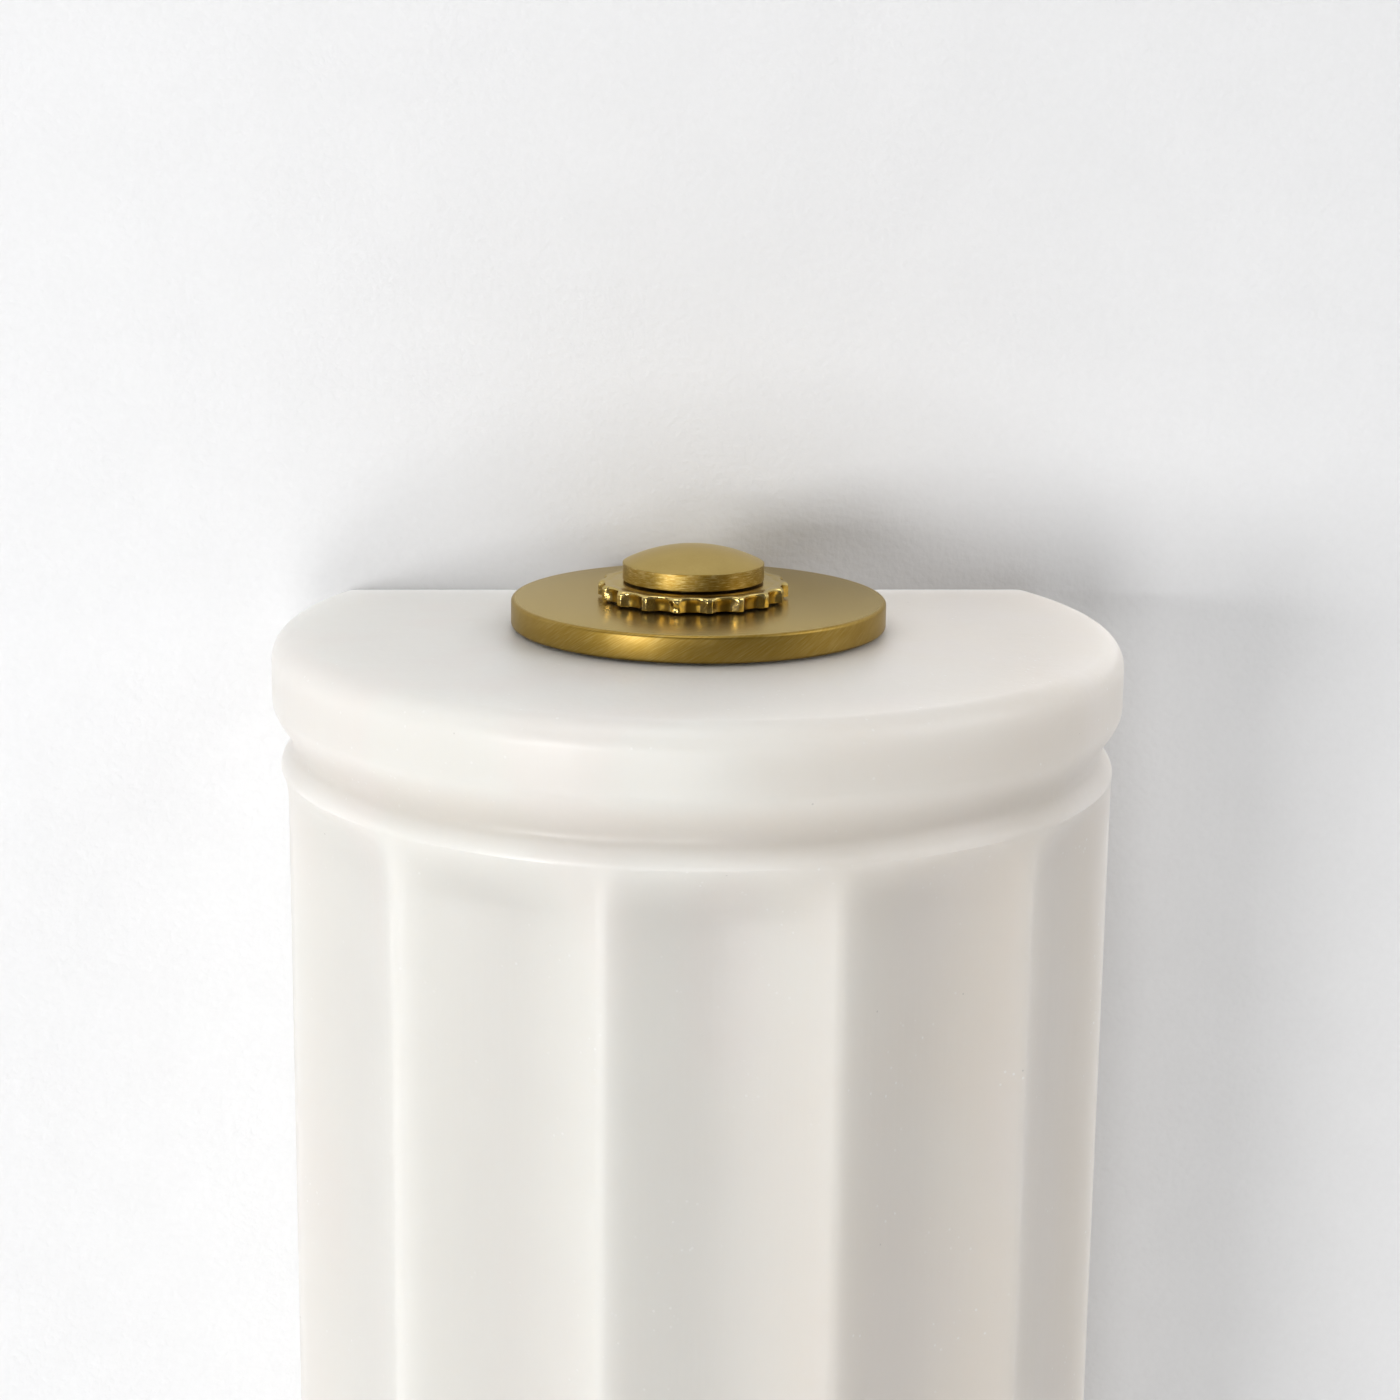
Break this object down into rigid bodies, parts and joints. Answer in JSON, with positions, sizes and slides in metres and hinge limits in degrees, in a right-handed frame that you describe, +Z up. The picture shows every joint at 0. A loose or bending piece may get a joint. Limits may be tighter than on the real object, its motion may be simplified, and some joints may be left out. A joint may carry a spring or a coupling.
{
  "type": "wall light",
  "caption": "Wall light: a flat-backed, fluted opal glass shade held by a nipple through a brass disc, a scalloped lock nut and a domed cap, over an upright screw-in bulb.",
  "frame": {"origin": "centre of the mounting strap's rear face, on the wall", "axes": "+Y into the wall, along the outward normal of the strap's rear face; +Z up, along the shade; +X to the right for someone facing the wall"},
  "size_m": [0.115, 0.0835, 0.2111],
  "materials": {
    "antique_brass": "satin, hand brushed, slightly aged",
    "opal_glass": "satin opal",
    "zinc_steel": "zinc plated",
    "white_paint": "satin white enamel",
    "clear_silicone": "matte translucent",
    "porcelain": "white glaze",
    "plain_brass": "bright",
    "nickel": "nickel plated",
    "black_rubber": "matte",
    "black_glass": "glossy",
    "black_sleeve": "extruded sleeve",
    "white_sleeve": "extruded sleeve",
    "copper": "bare copper",
    "green_paint": "green coating",
    "red_nylon": "moulded",
    "clear_glass": "clear",
    "phosphor": "matte"
  },
  "bodies": {
    "wall_frame": {"mounting_strap": "zinc_steel", "strap_stud_1": "zinc_steel", "strap_stud_2": "zinc_steel", "ground_screw": "green_paint", "back_pan": "white_paint", "pan_cap_nut_1": "nickel", "pan_cap_nut_2": "nickel", "top_bracket": "zinc_steel", "lower_bracket": "zinc_steel", "bracket_rivet_1": "zinc_steel", "bracket_rivet_2": "zinc_steel", "bracket_rivet_3": "zinc_steel", "bracket_rivet_4": "zinc_steel", "threaded_nipple": "zinc_steel", "bracket_hex_nut": "zinc_steel", "lock_washer": "zinc_steel", "glass_seat": "zinc_steel", "lower_gasket": "clear_silicone", "lamp_holder": "porcelain", "holder_shell": "plain_brass", "holder_contact": "plain_brass", "holder_screw_1": "zinc_steel", "holder_screw_2": "zinc_steel", "pan_grommet": "black_rubber", "lead_live": "black_sleeve", "lead_neutral": "white_sleeve", "ground_wire": "copper", "wire_connector_1": "red_nylon", "wire_connector_2": "red_nylon", "wire_connector_3": "red_nylon"},
    "shade": {"glass_shade": "opal_glass"},
    "top_plate": {"top_disc": "antique_brass", "upper_gasket": "clear_silicone"},
    "nut_thread": {"nut_bushing": "plain_brass"},
    "lock_nut": {"scalloped_nut": "antique_brass"},
    "cap_thread": {"cap_bushing": "plain_brass"},
    "finial": {"finial_cap": "antique_brass"},
    "bulb_thread": {"bulb_shell": "nickel", "bulb_contact": "nickel", "bulb_insulator": "black_glass"},
    "bulb": {"bulb_envelope": "clear_glass", "bulb_stem": "clear_glass", "bulb_filament_1": "phosphor", "bulb_filament_2": "phosphor", "bulb_filament_3": "phosphor", "bulb_filament_4": "phosphor"}
  },
  "joints": [
    {"name": "glass_lift", "type": "slide", "parent": "wall_frame", "child": "shade", "axis": [0, 0, 1], "range_m": [0, 0.21]},
    {"name": "plate_lift", "type": "slide", "parent": "shade", "child": "top_plate", "axis": [0, 0, 1], "range_m": [0, 0.01]},
    {"name": "nut_climb", "type": "slide", "parent": "top_plate", "child": "nut_thread", "axis": [0, 0, 1], "range_m": [0, 0.00475]},
    {"name": "nut_turn", "type": "hinge", "parent": "nut_thread", "child": "lock_nut", "pos_m": [-0.00075, -0.026, 0.1053], "axis": [0, 0, 1], "range_deg": [0, 1800]},
    {"name": "cap_climb", "type": "slide", "parent": "nut_thread", "child": "cap_thread", "axis": [0, 0, 1], "range_m": [0, 0.0024]},
    {"name": "cap_turn", "type": "hinge", "parent": "cap_thread", "child": "finial", "pos_m": [-0.00075, -0.026, 0.109], "axis": [0, 0, 1], "range_deg": [0, 900]},
    {"name": "bulb_climb", "type": "slide", "parent": "wall_frame", "child": "bulb_thread", "axis": [0, 0, 1], "range_m": [0, 0.0182]},
    {"name": "bulb_turn", "type": "hinge", "parent": "bulb_thread", "child": "bulb", "pos_m": [0, -0.042, 0], "axis": [0, 0, 1], "range_deg": [0, 1800]}
  ],
  "couplings": [
    {"joint": "nut_climb", "follows": "nut_turn", "m_per_rad": 0.00014972},
    {"joint": "cap_climb", "follows": "cap_turn", "m_per_rad": 0.00014972},
    {"joint": "bulb_climb", "follows": "bulb_turn", "m_per_rad": 0.0005775}
  ]
}
